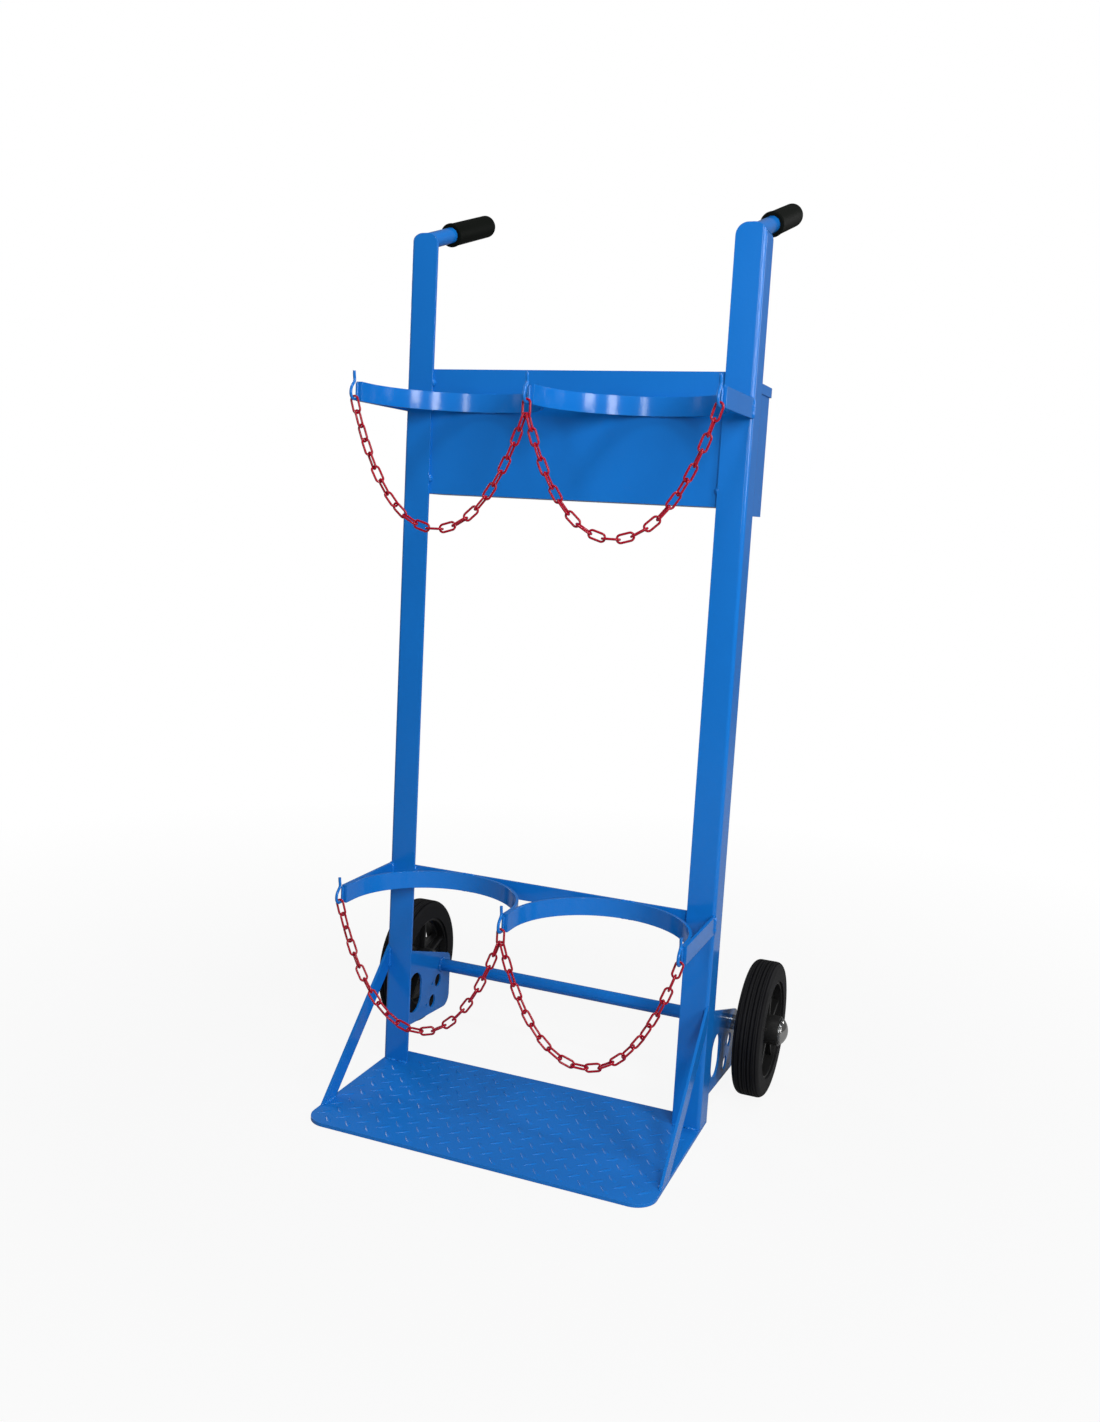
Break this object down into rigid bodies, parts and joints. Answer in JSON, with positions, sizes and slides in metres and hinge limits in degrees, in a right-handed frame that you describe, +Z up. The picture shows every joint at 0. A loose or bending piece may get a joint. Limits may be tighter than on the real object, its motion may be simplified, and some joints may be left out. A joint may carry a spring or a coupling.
{
  "type": "gas cylinder trolley",
  "caption": "Blue steel hand trolley that carries gas cylinders upright on a tread-plate deck, held by half-ring cradles and hooked red chains, with a lidded tool box and rubber wheels.",
  "frame": {"origin": "on the floor under the middle of the trolley's overall box", "axes": "+Z up, +Y to the back where the wheels and handles are, +X to the right seen from the front"},
  "size_m": [0.6606, 0.5006, 1.284],
  "materials": {
    "blue_paint": "glossy blue enamel",
    "red_chain": "red painted welded links",
    "tyre_rubber": "black ribbed rubber",
    "grip_rubber": "matte black moulded rubber",
    "rim_plastic": "black moulded plastic",
    "bush_plastic": "off-white bearing plastic",
    "zinc_steel": "bright zinc plating",
    "bright_cap": "bright plated pressed steel"
  },
  "bodies": {
    "frame": {"axle_shaft": "zinc_steel", "axle_tube": "blue_paint", "deck_plate": "blue_paint", "hinge_fixed_leaves": "blue_paint", "hinge_pins": "zinc_steel", "left_axle_bracket": "blue_paint", "left_axle_spacer": "zinc_steel", "left_grip": "grip_rubber", "left_handle_tube": "blue_paint", "left_hub_cap": "bright_cap", "left_inner_washer": "zinc_steel", "left_lower_arm": "blue_paint", "left_lower_cradle": "blue_paint", "left_outer_washer": "zinc_steel", "left_strut": "blue_paint", "left_toolbox_end": "blue_paint", "left_upper_arm": "blue_paint", "left_upper_cradle": "blue_paint", "left_upright": "blue_paint", "lower_crossbar": "blue_paint", "lower_left_hook": "blue_paint", "lower_middle_hook": "blue_paint", "lower_right_hook": "blue_paint", "right_axle_bracket": "blue_paint", "right_axle_spacer": "zinc_steel", "right_grip": "grip_rubber", "right_handle_tube": "blue_paint", "right_hub_cap": "bright_cap", "right_inner_washer": "zinc_steel", "right_lower_arm": "blue_paint", "right_lower_cradle": "blue_paint", "right_outer_washer": "zinc_steel", "right_strut": "blue_paint", "right_toolbox_end": "blue_paint", "right_upper_arm": "blue_paint", "right_upper_cradle": "blue_paint", "right_upright": "blue_paint", "toolbox_back_wall": "blue_paint", "toolbox_floor": "blue_paint", "toolbox_front_wall": "blue_paint", "toolbox_panel": "blue_paint", "upper_left_hook": "blue_paint", "upper_middle_hook": "blue_paint", "upper_right_hook": "blue_paint"},
    "left_wheel": {"left_tyre": "tyre_rubber", "left_wheel_rim": "rim_plastic", "left_wheel_bush": "bush_plastic"},
    "right_wheel": {"right_tyre": "tyre_rubber", "right_wheel_rim": "rim_plastic", "right_wheel_bush": "bush_plastic"},
    "lid": {"toolbox_lid": "blue_paint", "hinge_lid_leaves": "blue_paint"},
    "upper_chain": {"upper_left_chain": "red_chain", "upper_middle_link": "red_chain", "upper_right_chain": "red_chain"},
    "lower_chain": {"lower_left_chain": "red_chain", "lower_middle_link": "red_chain", "lower_right_chain": "red_chain"}
  },
  "joints": [
    {"name": "left_wheel_spin", "type": "hinge", "parent": "frame", "child": "left_wheel", "pos_m": [-0.2885, 0.15025, 0.1], "axis": [1, 0, 0], "continuous": true},
    {"name": "right_wheel_spin", "type": "hinge", "parent": "frame", "child": "right_wheel", "pos_m": [0.2885, 0.15025, 0.1], "axis": [1, 0, 0], "continuous": true},
    {"name": "lid_hinge", "type": "hinge", "parent": "frame", "child": "lid", "pos_m": [0, -0.01625, 1.0281], "axis": [1, 0, 0], "range_deg": [0, 93]},
    {"name": "upper_chain_swing", "type": "hinge", "parent": "frame", "child": "upper_chain", "pos_m": [-0.002, -0.17075, 0.9803], "axis": [1, 0, 0], "range_deg": [-60, 35]},
    {"name": "lower_chain_swing", "type": "hinge", "parent": "frame", "child": "lower_chain", "pos_m": [-0.002, -0.17075, 0.2953], "axis": [1, 0, 0], "range_deg": [-60, 35]}
  ]
}
